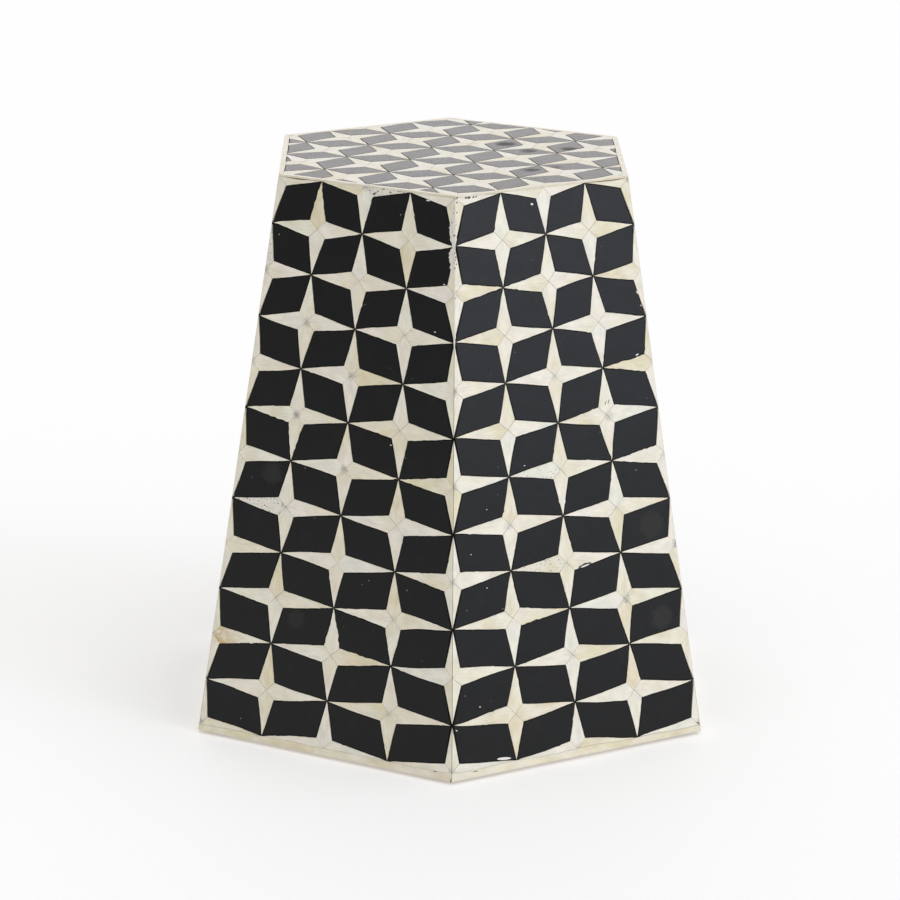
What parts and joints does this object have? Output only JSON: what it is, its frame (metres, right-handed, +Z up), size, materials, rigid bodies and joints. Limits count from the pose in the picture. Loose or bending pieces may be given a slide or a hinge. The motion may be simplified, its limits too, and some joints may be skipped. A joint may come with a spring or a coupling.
{
  "type": "bone inlay table",
  "caption": "Hexagonal side table that tapers upward, with black and bone star inlay on its sides and top over a hollow board carcass on rubber pads.",
  "frame": {"origin": "on the floor under the middle of the table", "axes": "+Z up, -Y towards the upright corner that faces the viewer, +X to the viewer's right"},
  "size_m": [0.404, 0.4664, 0.45],
  "materials": {
    "bone": "satin",
    "black_resin": "satin",
    "board": "matte",
    "softwood": "matte",
    "nail_steel": "satin",
    "rubber": "matte"
  },
  "bodies": {
    "root": {"side_board_front_right": "board", "base_rail_front_right": "softwood", "top_cleat_front_right": "softwood", "bone_stars_front_right": "bone", "black_tiles_front_right": "black_resin", "base_strip_front_right": "bone", "side_board_right": "board", "base_rail_right": "softwood", "top_cleat_right": "softwood", "bone_stars_right": "bone", "black_tiles_right": "black_resin", "base_strip_right": "bone", "side_board_back_right": "board", "base_rail_back_right": "softwood", "top_cleat_back_right": "softwood", "bone_stars_back_right": "bone", "black_tiles_back_right": "black_resin", "base_strip_back_right": "bone", "side_board_back_left": "board", "base_rail_back_left": "softwood", "top_cleat_back_left": "softwood", "bone_stars_back_left": "bone", "black_tiles_back_left": "black_resin", "base_strip_back_left": "bone", "side_board_left": "board", "base_rail_left": "softwood", "top_cleat_left": "softwood", "bone_stars_left": "bone", "black_tiles_left": "black_resin", "base_strip_left": "bone", "side_board_front_left": "board", "base_rail_front_left": "softwood", "top_cleat_front_left": "softwood", "bone_stars_front_left": "bone", "black_tiles_front_left": "black_resin", "base_strip_front_left": "bone", "corner_post_front": "softwood", "corner_post_right_front": "softwood", "corner_post_right_back": "softwood", "corner_post_back": "softwood", "corner_post_left_back": "softwood", "corner_post_left_front": "softwood", "top_board": "board", "top_nails": "nail_steel", "foot_pads": "rubber", "top_bone_stars": "bone", "top_black_tiles": "black_resin", "top_border_strips": "bone"}
  },
  "joints": []
}
